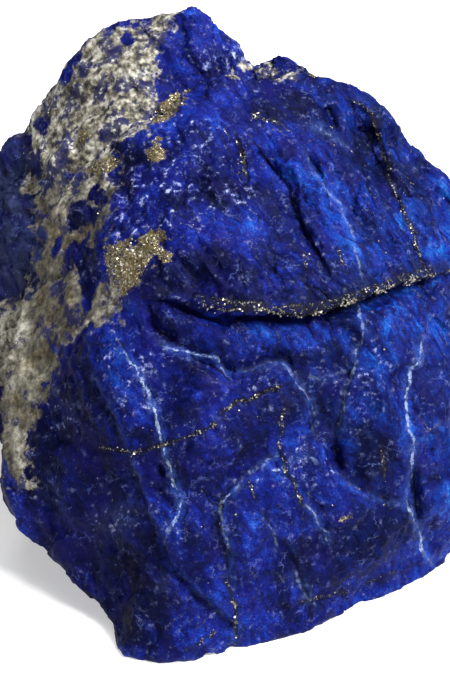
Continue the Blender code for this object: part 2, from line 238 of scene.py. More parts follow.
for x, y, reach_x, reach_y, growth in OUTLINE_TOUCHES:
    push += growth * np.exp(-((across - x) / reach_x) ** 2 - ((up - y) / reach_y) ** 2)
# soft unevenness all over
push += soft_noise(points, 0.9, 24) * 0.03 + soft_noise(points, 0.55, 25) * 0.03

# fissures: (route, half width, depth)
FISSURES = [
    ([(3.8, 29.6), (5.5, 27.4), (7.6, 24.8), (9.0, 23.2), (9.8, 21.2)], 0.25, 0.5),
    ([(9.2, 22.8), (9.8, 21.2), (10.8, 18.4), (12.0, 15.8), (13.3, 13.6), (14.4, 11.8), (15.3, 9.8),
      (16.1, 8.5)], 0.25, 1.3),
    ([(18.8, 34.9), (19.9, 33.1), (21.1, 30.7), (22.2, 28.3), (23.4, 25.4), (24.8, 22.6)],
     1.1, 1.6),
    ([(24.8, 22.6), (25.9, 20.6), (27.0, 18.5)], 0.4, 0.6),
    ([(11.7, 23.6), (12.0, 21.2), (12.3, 20.0)], 0.3, 0.5),
    ([(15.1, 35.5), (15.9, 33.5), (16.8, 31.4)], 0.45, 1.0),
    ([(12.4, 27.4), (13.7, 25.4), (15.0, 23.8)], 0.35, 0.7),
    ([(20.2, 26.2), (21.1, 23.9), (22.1, 21.2)], 0.35, 0.5),
    ([(26.8, 22.7), (27.9, 20.9)], 0.4, 0.8),
    ([(-7.0, 12.4), (-5.8, 10.4), (-3.8, 8.2)], 0.6, 0.7),
    ([(1.2, 31.1), (2.2, 29.3), (3.0, 26.6), (3.4, 23.0)], 0.35, 0.5),
    ([(-6.1, 25.9), (-5.8, 22.9), (-6.3, 20.6), (-7.9, 18.5)], 0.3, 0.5),
    ([(1.5, 13.1), (2.2, 10.1), (3.3, 7.1)], 0.3, 0.5),
    ([(5.5, 13.1), (7.5, 10.1), (9.0, 7.6)], 0.3, 0.5),
    ([(11.7, 8.6), (13.9, 7.0), (15.8, 5.6)], 0.3, 0.5),
    ([(12.3, 2.9), (12.8, 1.1), (13.3, -0.4)], 0.3, 0.5),
    ([(-3.3, -22.9), (-1.9, -24.4), (-0.8, -25.4)], 0.3, 0.5),
    ([(-9.8, -18.8), (-9.4, -20.2), (-9.2, -21.2)], 0.35, 0.8),
    ([(14.5, 3.8), (15.8, 2.3), (16.2, 1.1)], 0.3, 0.5),
    ([(-11.4, 5.4), (-11.0, 2.6), (-9.8, 0.7), (-7.0, -0.4)], 0.7, 0.8),
    ([(-5.6, -2.6), (-3.0, -4.0), (-0.6, -5.0), (0.9, -6.8)], 0.7, 1.0),
    ([(16.4, -15.2), (16.6, -17.6), (17.4, -20.6)], 0.8, 1.2),
    ([(28.4, -19.4), (28.3, -22.6), (28.6, -25.4), (29.0, -28.0)], 0.5, 0.9),
    ([(12.7, -12.6), (12.8, -14.0)], 0.5, 0.7),
]
for route, half_width, depth in FISSURES:
    gap, _, place = measure_route(across + wobble_x * 0.6, up + wobble_y * 0.6, route)
    taper = np.clip(np.minimum(place, 1 - place) / 0.3, 0.15, 1)
    push -= depth * np.exp(-(gap / half_width) ** 2) * taper * facing

# the long step has a thin lip above it and a dark gap right under it
gap, side, place = measure_route(across + wobble_x, up + wobble_y, LONG_STEP)
taper = np.clip(np.minimum(place, 1 - place) / 0.06, 0.2, 1) * facing
push += np.where(side > 0, 0.25 * np.exp(-gap / 1.2), -0.75 * np.exp(-(gap / 0.6) ** 2)) * taper

# thin ledges: (route, drop, reach, low side)
LEDGES = [
    ([(-9.6, -0.8), (-5.4, -2.2), (-2.0, -3.0), (0.4, -5.4), (3.8, -5.0), (6.6, -4.0), (8.7, -3.7),
      (11.0, -6.0), (12.6, -9.6), (13.0, -14.0), (11.0, -16.8)], 0.8, 3.0, 1),
    ([(20.6, 1.8), (20.6, -1.2), (19.4, -3.8), (18.7, -7.2), (17.6, -11.8), (16.6, -15.6)],
     0.7, 2.5, -1),
    ([(16.4, -19.6), (18.8, -22.2), (23.0, -24.4), (27.0, -25.0)], 0.7, 2.5, 1),
    ([(8.3, -17.6), (4.6, -19.6), (1.6, -22.0), (-0.5, -24.7), (-0.8, -29.0), (0.4, -32.0),
      (1.4, -38.0)], 0.7, 2.5, -1),
    ([(-9.8, -28.9), (-8.0, -33.7), (-4.5, -37.9), (-0.5, -41.2), (2.3, -43.6)], 0.7, 3.0, -1),
    ([(9.0, -29.5), (11.5, -36.0), (13.8, -41.0)], 0.5, 2.0, -1),
    ([(-20.7, -0.4), (-20.0, -5.6), (-17.7, -9.4), (-15.8, -13.9), (-14.0, -18.7), (-11.7, -24.4),
      (-10.5, -28.1), (-9.8, -31.9), (-8.6, -38.0)], 0.6, 2.5, -1),
]
for route, drop, reach, low_side in LEDGES:
    gap, side, place = measure_route(across + wobble_x, up + wobble_y, route)
    taper = np.clip(np.minimum(place, 1 - place) / 0.1, 0, 1) * facing
    low = np.clip(gap / 0.25, 0, 1) * np.clip(1 - gap / reach, 0, 1)
    rim = 0.08 * np.exp(-(gap / 0.6) ** 2)
    push += np.where(side == low_side, -drop * low, rim) * taper
# this relief fades out where the stone meets the table
push *= np.clip(points[:, 2] / 1.5, 0, 1)
write_skin(stone, points + normals * push[:, None])


def count_triangles(thing):
    """Return the number of triangles that a mesh comes to."""
    return sum(len(face.vertices) - 2 for face in thing.data.polygons)


def thin_out(thing, goal, **settings):
    """Reduce a mesh to a number of triangles."""
    finish_with(thing, "DECIMATE", ratio=min(1, goal / count_triangles(thing)), **settings)


# the hidden sides are thinned first, so the seen side keeps the finest relief
hidden = stone.vertex_groups.new(name="hidden")
hidden.add(np.nonzero(squareness < 0)[0].tolist(), 1, "REPLACE")
goal = (squareness >= 0).mean() * count_triangles(stone) + HIDDEN_TRIANGLES
thin_out(stone, goal, vertex_group="hidden", vertex_group_factor=1)
stone.vertex_groups.clear()
thin_out(stone, SKIN_TRIANGLES)
# the underside lies flat on the table, and the rock beside it stays just clear
UNDERSIDE_HEIGHT = 0.35
CLEARANCE = 0.02
points, normals = read_skin(stone)
underside = (points[:, 2] < UNDERSIDE_HEIGHT) & (normals[:, 2] < -0.6)
points[:, 2] = np.where(underside, 0, np.maximum(points[:, 2], CLEARANCE))
write_skin(stone, points)
only(stone)
bpy.ops.object.shade_smooth()

# Where each mineral lies
# Places that can be told apart by eye: pale host rock, pyrite nests and seams, white calcite
# veins, brighter and darker blue, and where light and shade are painted. Each is a number per
# vertex, which the finish turns to colour.

# outlines of the pale host rock, as (across, up) on the picture
PALE_OUTLINES = [
    [(-30.3, 30.8), (-27.5, 34.9), (-25.2, 38.3), (-22.5, 42.7), (-19.5, 45.4), (-15.8, 47.3),
     (-12.0, 48.0), (-7.0, 49.5), (-7.8, 46.5), (-9.9, 43.0), (-10.4, 39.5), (-10.8, 35.5),
     (-12.2, 31.5), (-16.4, 28.9), (-20.6, 26.0), (-24.8, 23.6), (-27.8, 23.8), (-28.6, 27.6)],
    [(-25.2, 24.0), (-16.6, 28.4), (-16.4, 23.2), (-18.6, 16.4), (-19.8, 14.4), (-20.4, 11.4),
     (-19.8, 5.8), (-19.0, 4.2), (-20.8, 1.4), (-24.0, -1.4), (-26.4, -6.4), (-27.4, -9.6),
     (-28.4, -16.0), (-29.4, -21.4), (-29.0, -23.4), (-31.0, -22.6), (-32.6, -22.0),
     (-34.0, -20.0), (-35.5, -9.0), (-35.5, 6.0), (-29.4, 5.8), (-28.4, 16.4), (-29.4, 22.4)],
    [(-22.0, 5.6), (-19.6, 7.8), (-17.2, 8.6), (-15.4, 6.4), (-16.4, 1.8), (-18.8, 0.4),
     (-21.0, 1.0)],
    [(-1.0, 40.6), (4.0, 39.2), (10.6, 38.6), (11.4, 40.6), (7.0, 41.0), (3.0, 40.8)],
]
# routes of the calcite veins and the pyrite seams: (strength, corners)
VEINS = [
    (1, [(-16.1, -0.4), (-14.5, -3.1), (-12.8, -5.6), (-11.7, -7.6), (-11.1, -9.1), (-10.5, -11.2),
          (-9.9, -14.2), (-9.0, -17.6), (-7.9, -20.6), (-7.0, -23.2), (-6.5, -24.8), (-6.6, -26.2),
          (-7.5, -27.4), (-8.5, -28.7), (-9.0, -30.7)]),
    (0.5, [(11.6, 28.6), (13.0, 25.1), (15.0, 22.6), (17.2, 19.6), (18.8, 16.9), (19.5, 13.9),
           (20.4, 10.1), (21.0, 7.6)]),
    (0.8, [(-9.8, -0.8), (-8.2, -1.7), (-6.8, -2.2), (-4.5, -2.6), (-1.9, -2.9), (-1.1, -3.7),
          (-0.3, -4.9), (0.8, -6.4)]),
    (0.55, [(6.0, -4.4), (7.0, -3.8), (8.2, -3.7), (9.2, -4.4), (9.8, -5.3), (10.8, -6.8),
            (12.0, -8.3), (12.9, -10.0), (13.7, -11.8)]),
    (0.6, [(19.3, 5.6), (19.9, 4.4), (20.7, 2.3), (21.0, 0.7), (20.6, -0.8), (19.8, -1.9),
           (19.3, -3.4), (19.2, -5.2), (18.4, -7.1), (17.8, -9.4), (17.4, -11.6), (17.1, -13.9),
           (16.9, -14.9)]),
    (0.85, [(30.4, 0.4), (29.4, -1.1), (29.1, -3.4), (27.9, -4.6), (27.6, -6.4), (27.4, -9.4),
          (27.3, -11.6), (27.6, -13.9), (28.2, -15.8), (28.3, -17.2), (28.1, -19.6), (27.8, -21.4),
          (27.3, -22.9), (27.4, -25.1), (28.2, -26.5), (28.8, -28.4), (29.2, -30.5), (30.0, -32.9),
          (30.9, -34.3), (31.9, -34.6)]),
    (0.6, [(8.2, -17.3), (7.0, -18.2), (5.5, -19.3), (4.5, -19.6), (3.4, -20.5)]),
    (0.8, [(2.4, -22.0), (1.5, -22.9), (0.4, -23.8), (-0.6, -24.8), (-0.8, -26.2), (-0.4, -27.7),
          (-0.1, -29.2), (0.6, -30.7), (0.8, -32.2)]),
    (0.5, [(10.2, -34.6), (10.8, -36.1), (11.2, -37.4), (12.4, -39.1), (13.5, -40.4)]),
    (0.6, [(11.7, -24.8), (12.8, -26.0), (13.9, -27.4), (15.0, -28.9), (15.6, -31.1)]),
    (0.4, [(9.0, -19.3), (9.8, -18.2), (11.2, -17.6), (13.0, -18.1), (14.2, -19.1)]),
    (0.5, [(6.5, -27.8), (7.2, -29.3), (7.9, -31.4)]),
    (0.5, [(12.8, 31.7), (14.5, 31.1), (16.3, 30.1), (18.8, 28.1)]),
    (0.7, [(0.9, -39.1), (1.6, -40.7), (1.6, -43.1), (1.3, -44.5), (1.6, -46.1)]),
    (0.35, [(12.4, -5.6), (14.2, -6.4), (16.1, -5.9), (18.1, -5.0)]),
    (0.8, [(-29.5, 22.1), (-28.1, 23.3), (-25.9, 23.6), (-23.8, 24.2)]),
]
SEAMS = [
    (0.8, [(-18.8, -16.6), (-16.5, -16.7), (-15.1, -17.3), (-13.8, -17.5), (-12.3, -16.9),
          (-10.5, -16.3), (-9.0, -16.1), (-6.8, -15.4), (-5.0, -14.8), (-3.8, -14.2), (-1.9, -13.1),
          (-0.3, -12.4)]),
    (1, [(-1.2, -11.5), (0.0, -10.7), (1.2, -10.0), (3.0, -9.5), (4.5, -8.9), (6.1, -8.0),
          (7.5, -7.6), (9.0, -7.0)]),
    (1, [(-3.3, 5.0), (-1.9, 4.4), (-0.1, 4.0), (2.2, 4.4), (4.5, 4.0), (6.8, 3.7), (9.0, 3.4),
          (11.2, 3.2), (14.2, 3.8), (16.5, 4.4), (18.4, 5.2), (20.2, 5.8), (22.1, 6.7), (24.0, 7.4),
          (25.9, 8.0), (28.1, 8.8), (30.8, 9.4), (33.8, 10.0)]),
    (0.6, [(-4.2, 6.0), (-1.5, 5.6), (1.0, 5.4), (4.0, 5.1), (7.0, 4.8), (10.0, 4.4), (13.0, 4.8),
          (16.5, 5.6), (20.5, 7.0), (24.5, 8.6), (28.5, 9.9), (33.0, 11.1)]),
    (0.8, [(19.1, 35.5), (20.6, 34.7), (21.8, 33.5), (22.8, 30.7), (23.4, 28.9), (24.1, 26.6),
          (24.8, 23.9), (25.5, 22.1), (26.4, 19.9), (27.4, 17.6), (28.5, 15.4), (28.9, 13.4),
          (29.7, 11.3), (29.8, 9.4)]),
    (0.7, [(1.8, 29.9), (2.4, 27.8), (2.7, 25.9), (3.1, 23.6)]),
    (0.5, [(4.3, 33.5), (6.0, 32.8), (7.5, 32.3), (9.0, 31.6)]),
    (0.8, [(-0.1, -35.6), (0.4, -37.6), (1.2, -39.4), (1.6, -41.6), (1.5, -43.9), (1.6, -46.1)]),
    (0.5, [(10.7, -39.8), (13.5, -39.1), (15.8, -38.5), (18.1, -38.2)]),
    (0.5, [(21.1, -37.0), (23.2, -36.1), (24.8, -35.5), (25.9, -35.2)]),
    (0.4, [(-6.3, -47.0), (-4.3, -46.3), (-3.3, -45.4), (-1.3, -44.2)]),
    (0.6, [(16.9, 13.3), (17.4, 11.9), (17.8, 10.7)]),
    (0.5, [(11.4, 12.5), (12.0, 11.3), (12.4, 10.0)]),
    (0.5, [(23.7, -16.9), (23.8, -18.8), (23.8, -21.1)]),
    (0.7, [(8.1, -15.5), (8.4, -17.2), (9.0, -19.0), (9.8, -21.1), (10.7, -23.2), (11.4, -24.7)]),
    (0.4, [(7.6, 1.4), (7.9, -0.1), (7.9, -1.6)]),
    (0.5, [(8.7, -10.6), (8.4, -12.7), (8.5, -14.8)]),
    (0.4, [(3.8, -21.4), (4.0, -22.6), (4.5, -23.9)]),
    (0.6, [(-0.6, -24.4), (-0.4, -26.2), (-0.8, -28.0), (0.1, -29.3)]),
]
# patches, here pyrite nests: (across, up, half width, half height, turn in degrees, strength)
NESTS = [
    (-11.2, 14.6, 2.4, 1.3, 10, 1), (-16.2, 11.4, 2.0, 3.2, 10, 1), (-14.6, 9.2, 1.6, 2.4, -20, 1),
    (-9.8, 12.6, 1.6, 0.9, -30, 1), (-10.0, 28.2, 1.3, 1.8, 0, 1), (-8.6, 34.4, 3.4, 1.1, 40, 1),
    (-18.0, 26.0, 2.6, 1.2, 30, 0.8), (-21.0, 30.0, 2.0, 1.0, 60, 0.6),
    (-13.2, 12.2, 3.0, 2.4, 20, 1), (18.2, -27.3, 1.6, 0.5, 0, 0.45),
]
# where the blue is brighter: partly its own brighter blue, partly painted light, as on the lit band
# under the long step
BRIGHTER_AND_LIT_PATCHES = [
    (18.5, 17.6, 2.4, 4.4, -25, 1.2), (16.5, 15.4, 2.0, 2.0, 0, 1), (24.8, 3.4, 3.8, 2.7, 0, 0.6),
    (21.0, 4.1, 1.6, 1.8, 0, 0.6), (0.4, -21.7, 1.3, 1.2, 30, 1), (5.0, -27.4, 1.0, 2.1, -50, 0.8),
    (20.6, -22.9, 2.8, 1.4, -25, 1), (15.8, 22.1, 1.8, 1.5, 0, 1), (3.8, 16.9, 2.2, 2.4, 0, 0.6),
    (28.0, 19.1, 2.4, 3.4, -30, 1), (32.3, 13.1, 2.0, 3.0, 0, 1), (27.8, -12.4, 1.2, 5.0, 0, 0.8),
    (24.0, 1.1, 3.0, 2.0, 0, 0.5), (30.8, 1.1, 2.0, 3.0, 0, 0.5), (0.0, 43.9, 5.0, 3.0, 0, 0.2),
    (5.0, -1.0, 6.0, 2.0, 0, 0.7), (13.0, 1.0, 4.0, 2.0, 0, 1), (-8.0, -31.0, 1.5, 3.0, 0, 0.7),
    (12.5, 28.0, 2.4, 1.6, -30, 0.7), (-1.0, 31.0, 2.0, 2.0, 0, 0.3),
    (-17.0, -5.0, 1.5, 4.0, 20, 0.5), (14.0, 25.0, 1.2, 2.6, -30, 0.7),
    (17.0, 20.0, 1.8, 3.0, -35, 1.1), (19.5, 14.5, 1.6, 3.6, -15, 1),
]
# where the blue is darker: partly its own darker blue, partly painted shade, as in the shadow above
# the long step and in the hollow above its left end
DARKER_AND_SHADED_PATCHES = [
    (-1.5, 10.9, 7.5, 3.3, 0, 1), (-1.0, 22.0, 5.0, 2.4, 0, 1), (15.8, -9.4, 2.7, 6.0, 0, 1),
    (21.0, -17.6, 3.8, 3.0, 0, 1), (-4.5, -4.1, 3.0, 1.2, -20, 1), (3.0, -13.9, 3.0, 3.8, 0, 1),
    (-18.0, -20.0, 6.0, 9.0, 0, 1), (-10.0, 10.0, 3.0, 2.0, 0, 1), (8.0, 34.0, 6.0, 2.0, 0, 1),
    (13.0, -34.0, 6.0, 4.0, 0, 1), (23.0, -30.0, 4.0, 5.0, 0, 1), (-32.0, 17.0, 5.0, 14.0, 0, 1.3),
    (-14.8, 24.8, 1.4, 3.0, -20, 1), (-21.0, 18.0, 1.4, 3.0, -10, 1), (20.0, 7.0, 8.0, 1.0, 15, 1),
    (13.0, -2.0, 3.0, 1.2, 0, 0.7), (14.6, -4.4, 1.6, 2.6, 0, 0.8), (2.0, -33.0, 5.0, 9.0, 0, 0.6),
    (-2.0, 42.0, 3.0, 4.0, 0, 0.5), (6.0, 8.0, 8.0, 2.0, 0, 0.5), (-27.0, 27.0, 1.5, 4.0, 0, 0.8),
    (20.8, 30.2, 1.1, 4.6, -25, 1.4), (9.0, -12.0, 2.5, 3.0, 0, 0.7),
    (24.0, -7.0, 2.0, 4.0, 0, 0.5), (8.0, -36.0, 7.0, 6.0, 15, 0.7),
    (12.0, -24.0, 4.0, 4.0, 0, 0.4), (26.0, -27.0, 4.0, 5.0, 0, 0.5),
    (-22.4, 18.6, 2.4, 3.6, -35, 1.1), (-21.4, 9.0, 2.0, 5.8, 5, 1.1),
]
# outline of the shaded left face, where its shade is painted in as darker blue
SHADED_FACE = [
    (-24.5, -1.0), (-20.7, -0.4), (-20.0, -5.6), (-17.7, -9.4), (-15.8, -13.9), (-14.0, -18.7),
    (-11.7, -24.4), (-10.5, -28.1), (-9.8, -31.9), (-8.6, -38.0), (-8.0, -47.0), (-17.0, -46.0),
    (-24.0, -37.0), (-30.0, -25.0), (-29.0, -15.0), (-26.8, -7.0),
]
# where loose pyrite crumbs gather
CRUMBS = [
    (-0.9, 4.6, 2.7, 0.8, 0, 1), (7.0, 4.6, 3.0, 0.6, 0, 1), (13.0, 4.4, 3.0, 0.6, 10, 1),
    (20.0, 6.6, 4.0, 0.6, 15, 1), (27.0, 8.8, 4.0, 0.6, 15, 1), (5.6, 32.2, 2.4, 0.6, -20, 1),
    (2.6, 26.6, 0.7, 2.8, 0, 1), (12.0, 11.4, 0.8, 1.4, 0, 1), (17.3, 12.2, 0.6, 1.4, 0, 1),
]
# where blue shows through the host rock
BLUE_GAPS = [
    (-22.4, 18.6, 2.0, 3.0, -35, 1), (-21.6, 9.8, 1.3, 4.6, 5, 1), (-25.2, 13.6, 1.1, 2.4, 0, 0.7),
    (-19.4, 21.4, 1.0, 1.4, -30, 0.6), (-14.6, 44.6, 1.6, 1.2, 30, 0.6),
    (-26.6, 31.4, 1.2, 2.0, 0, 0.5),
]
# where the host rock is even, with few islands of blue
EVEN = [
    (-31.0, -5.0, 4.5, 13.0, 5, 0.9), (-27.0, 9.0, 1.6, 6.0, 0, 0.6),
]
# where the blue is greyed by fine host rock
HAZY = [
    (-32.0, 17.0, 4.5, 14.0, 0, 1), (-16.5, -27.0, 3.0, 2.2, 20, 0.5),
]
# where the host rock is cream, not khaki
CREAMY = [
    (-33.2, 0.0, 2.6, 6.0, 0, 0.9), (-33.4, -4.0, 1.4, 4.0, 0, 0.8),
    (-29.5, -18.5, 1.6, 4.5, 0, 0.9), (-20.0, 1.6, 2.4, 1.2, 30, 0.9),
    (-24.0, 20.0, 2.0, 4.0, 20, 0.7), (-16.8, 5.6, 1.5, 2.5, 0, 0.9),
]
# where pale crumbs crowd the blue
SPECKLED = [
    (-9.0, 22.0, 6.0, 8.0, 0, 1), (-12.0, 18.0, 5.0, 3.0, 0, 1), (-16.5, -26.8, 4.0, 2.6, 20, 1),
    (-14.0, -7.0, 3.0, 5.0, 20, 1), (-8.0, -28.0, 2.0, 3.0, 0, 1), (7.5, -6.0, 4.0, 1.6, 10, 1),
    (-4.0, 28.0, 4.0, 4.0, 0, 1), (1.0, 21.0, 4.0, 3.0, 0, 1), (-28.0, -24.0, 3.0, 2.0, 0, 1),
    (-24.0, -10.0, 3.0, 4.0, 0, 1), (20.0, -7.0, 3.0, 5.0, 0, 1), (12.0, -19.0, 4.0, 3.0, 0, 1),
    (-11.0, 22.0, 6.0, 9.0, 0, 1.6), (-14.5, 17.6, 4.0, 3.0, 0, 1.8),
    (-6.0, 31.0, 4.0, 3.0, 0, 1.2), (-16.6, -5.0, 2.0, 7.0, 15, 1.5),
    (-13.0, -2.0, 4.0, 3.0, 0, 1.0), (6.0, -19.5, 4.0, 2.0, 20, 1.2),
    (-1.0, 43.0, 5.0, 4.0, 0, 1.2), (4.0, 38.0, 5.0, 2.0, 0, 0.7),
]


def patches(across, up, places):
    """Return 1 inside the patches, falling to 0 outside them."""
    total = np.zeros(across.shape)
    for centre_x, centre_y, half_width, half_height, turn, strength in places:
        cos, sin = math.cos(math.radians(turn)), math.sin(math.radians(turn))
        x = (across - centre_x) * cos + (up - centre_y) * sin
        y = (up - centre_y) * cos - (across - centre_x) * sin
        reach = np.sqrt((x / half_width) ** 2 + (y / half_height) ** 2)
        total = np.maximum(total, np.clip(1.5 - reach, 0, 1) * strength)
    return total


def inside_outline(across, up, outline):
    """Return the distance to an outline, positive inside it."""
    closed = outline + outline[:1]
    gap, _, _ = measure_route(across, up, closed)
    crossings = np.zeros(across.shape, dtype=bool)
    for (x1, y1), (x2, y2) in zip(closed, closed[1:]):
        if y1 != y2:
            spans = (up > min(y1, y2)) & (up <= max(y1, y2))
            meets = x1 + (up - y1) * (x2 - x1) / (y2 - y1)
            crossings ^= spans & (across < meets)
    return np.where(crossings, gap, -gap)


def nearest_line(across, up, routes):
    """Return the signed distance to the nearest route, and 1 near it, less at its ends."""
    best = np.full(across.shape, 9.0)
    signed = np.full(across.shape, 9.0)
    near = np.zeros(across.shape)
    for strength, route in routes:
        gap, side, place = measure_route(across, up, route)
        nearer = gap < best
        best = np.where(nearer, gap, best)
        signed = np.where(nearer, gap * side, signed)
        ends = np.clip(np.minimum(place, 1 - place) / 0.08, 0.25, 1)
        near = np.where(nearer, np.clip(1.6 - gap, 0, 1) * ends * strength, near)
    return signed, near


def keep(name, values):
    """Store one number per vertex on the stone's mesh."""
    layer = stone.data.attributes.new(name, "FLOAT", "POINT")
    layer.data.foreach_set("value", values.astype(np.float32))


across, up, squareness = seen(points, normals)
front = np.clip((squareness + 0.02) / 0.08, 0, 1)
wobble_x = soft_noise(points, 1.6, 31) * 0.35 + soft_noise(points, 0.7, 32) * 0.15
wobble_y = soft_noise(points, 1.6, 33) * 0.35 + soft_noise(points, 0.7, 34) * 0.15
bent_x, bent_y = across + wobble_x, up + wobble_y
wide_x = across + soft_noise(points, 5, 35) * 1.6
wide_y = up + soft_noise(points, 5, 36) * 1.6

pale = np.full(len(points), -9.0)
for outline in PALE_OUTLINES:
    pale = np.maximum(pale, inside_outline(wide_x, wide_y, outline))
pale -= patches(wide_x, wide_y, BLUE_GAPS) * 6
# round the back the host rock goes on down the left rear, in a broad ragged band
rear = -points[:, 0] * 0.75 + points[:, 1] * 0.45 - 27
rear += soft_noise(points, 14, 51) * 12 + soft_noise(points, 5, 52) * 4
turned_away = np.clip(0.5 - squareness * 6 + soft_noise(points, 4, 53), 0, 1)
pale = pale + (np.clip(rear, -9, 6) - pale) * turned_away
cream = np.clip((up - 18) / 8, 0, 1)
cream = np.maximum(cream, patches(wide_x, wide_y, CREAMY))
vein, vein_near = nearest_line(bent_x, bent_y, VEINS)
seam, seam_near = nearest_line(bent_x, bent_y, SEAMS)
# round the back each vein and seam follows the line on which a slow noise is nought
hidden_vein = (soft_noise(points, 15, 54) + soft_noise(points, 3, 55) * 0.06) * 12
hidden_seam = (soft_noise(points, 17, 56) + soft_noise(points, 3, 57) * 0.06) * 14
vein = np.where(front > 0, vein, hidden_vein)
seam = np.where(front > 0, seam, hidden_seam)
patchy = np.clip(soft_noise(points, 8, 58) * 3 + 0.6, 0, 0.9)
hidden_near = np.clip(1.6 - np.abs(vein), 0, 1) * patchy
vein_near = np.where(front > 0, vein_near * front, hidden_near)
hidden_near = np.clip(1.6 - np.abs(seam), 0, 1) * (0.9 - patchy)
seam_near = np.where(front > 0, seam_near * front, hidden_near)
nest = patches(bent_x, bent_y, NESTS) * front
nest = np.maximum(nest, np.clip(soft_noise(points, 7, 59) * 4 - 1.9, 0, 1) * (1 - front))
keep("pale", pale)
keep("cream", cream)
keep("vein", vein)
keep("vein_near", vein_near)
keep("seam", seam)
keep("seam_near", seam_near)
keep("nest", nest)
# the blue turns greener towards the right, and where it is bright
brighter_and_lit = patches(wide_x, wide_y, BRIGHTER_AND_LIT_PATCHES)
teal = np.clip((wide_x - 3) / 20, 0, 1) * np.clip((up + 40) / 25, 0, 1)
keep("teal", np.maximum(teal, brighter_and_lit * 0.6) * front)
# painted shade: the blue is darker on the shaded left face and in the shadow right above the long
# step
shadowed = np.clip(inside_outline(bent_x, bent_y, SHADED_FACE) + 0.5, 0, 1) * 0.8
gap, _, _ = measure_route(wide_x, wide_y - 1.6, LONG_STEP)
shadow_above_step = np.clip(1.6 - gap / 1.2, 0, 1)
darker_and_shaded = np.maximum(np.maximum(patches(wide_x, wide_y, DARKER_AND_SHADED_PATCHES), shadowed), shadow_above_step) * front
keep("brighter_and_lit", brighter_and_lit * front)
keep("hazy", patches(wide_x, wide_y, HAZY) * front)
keep("even", patches(wide_x, wide_y, EVEN) * front)
keep("darker_and_shaded", darker_and_shaded)
crack, crack_near = nearest_line(bent_x, bent_y, [(1, route) for route, _, _ in FISSURES])
low_lines = [(low_side * min(1, drop / 0.7), route) for route, drop, _, low_side in LEDGES]
ledge, ledge_near = nearest_line(bent_x, bent_y, low_lines)
keep("ledge", ledge * np.sign(ledge_near))
keep("ledge_near", np.abs(ledge_near) * front)
keep("crack", crack)
keep("crack_near", crack_near * front)
# fewer pale crumbs show on the shaded left face, as part of its painted shade
speckled = np.maximum(patches(wide_x, wide_y, SPECKLED) * front, 0.14)
keep("speckled", speckled * np.clip(1 - shadowed * 0.6, 0.3, 1))

# The stone's finish
# Blue lazurite in several depths of colour, thin white calcite veins and crumbs in it, pale
# host rock with blue islands, and fine brassy pyrite. A fresh break is dull with small glints.
# Shade in cracks, at the feet of ledges, on the left face and above the long step is painted in,
# and so are some highlights and glints.
PER_MM = (1 / MM, 1 / MM, 1 / MM)
# what runs through several depths or tones: (place, colour)
BLUES = [
    (0.32, (0.0012, 0.0018, 0.018)), (0.41, (0.0022, 0.0038, 0.048)),
    (0.48, (0.0036, 0.0065, 0.096)), (0.54, (0.0048, 0.012, 0.165)),
    (0.62, (0.007, 0.033, 0.28)), (0.74, (0.020, 0.110, 0.46)),
]
CREAMS = [
    (0.42, (0.018, 0.019, 0.030)), (0.495, (0.085, 0.078, 0.062)), (0.56, (0.23, 0.215, 0.17)),
    (0.66, (0.55, 0.54, 0.475)),
]
KHAKIS = [
    (0.41, (0.026, 0.025, 0.028)), (0.49, (0.066, 0.061, 0.050)), (0.57, (0.115, 0.108, 0.085)),
    (0.65, (0.185, 0.175, 0.138)), (0.76, (0.34, 0.325, 0.27)),
]
BRASSES = [
    (0.0, (0.03, 0.024, 0.014)), (0.5, (0.18, 0.148, 0.083)), (0.85, (0.45, 0.40, 0.26)),
    (1.0, (0.78, 0.74, 0.58)),
]
SILVERS = [
    (0.0, (0.03, 0.03, 0.03)), (0.5, (0.16, 0.155, 0.135)), (0.85, (0.45, 0.44, 0.40)),
    (1.0, (0.82, 0.82, 0.78)),
]
# what lies on the blue
VIOLET = (0.007, 0.004, 0.09, 1)
GREENING = (0.7, 1.7, 1.05, 1)
HAZE_GREY = (0.030, 0.042, 0.095, 1)
COTTON_BLUE = (0.10, 0.13, 0.36, 1)
CRUMB_WHITE = (0.32, 0.35, 0.56, 1)
SPECK_AND_GLINT_BLUE = (0.20, 0.26, 0.52, 1)
HAIR_BLUE = (0.12, 0.17, 0.46, 1)
LEDGE_SHADE_BLACK = (0.003, 0.003, 0.024, 1)
HALO_BLUE = (0.035, 0.09, 0.36, 1)
FROST_BLUE = (0.16, 0.22, 0.50, 1)
CALCITE_WHITE = (0.29, 0.38, 0.58, 1)
# what lies on the host rock and over both
RUSTING = (1.1, 0.9, 0.62, 1)
ISLAND_BLUE = (0.010, 0.012, 0.070, 1)
SEAM_AND_SHADE_BLACK = (0.006, 0.006, 0.008, 1)
NEST_BROWN = (0.105, 0.077, 0.034, 1)
CRACK_SHADE_BLACK = (0.002, 0.002, 0.012, 1)


def add(tree, kind, wires=None, **settings):
    """Add a node, set its properties and connect or fill its inputs."""
    made = tree.nodes.new("ShaderNode" + kind)
    for name, value in settings.items():
        setattr(made, name, value)
    for name, value in (wires or {}).items():
        if isinstance(value, bpy.types.NodeSocket):
            tree.links.new(value, made.inputs[name])
        else:
            made.inputs[name].default_value = value
    return made


def sums(tree, operation, first, second=0.0, third=0.0, clamp=False):
    """Return the output of a Math node."""
    made = add(tree, "Math", {0: first, 1: second, 2: third}, operation=operation)
    made.use_clamp = clamp
    return made.outputs[0]


def times(tree, first, second, clamp=False):
    """Return the product of two values."""
    return sums(tree, "MULTIPLY", first, second, clamp=clamp)


def inverse(tree, value):
    """Return 1 less the value."""
    return sums(tree, "SUBTRACT", 1.0, value)


def stirred(tree, value, noise, amount):
    """Return a value pushed up and down by a noise that lies between 0 and 1."""
    return sums(tree, "MULTIPLY_ADD", sums(tree, "SUBTRACT", noise, 0.5), amount, value)


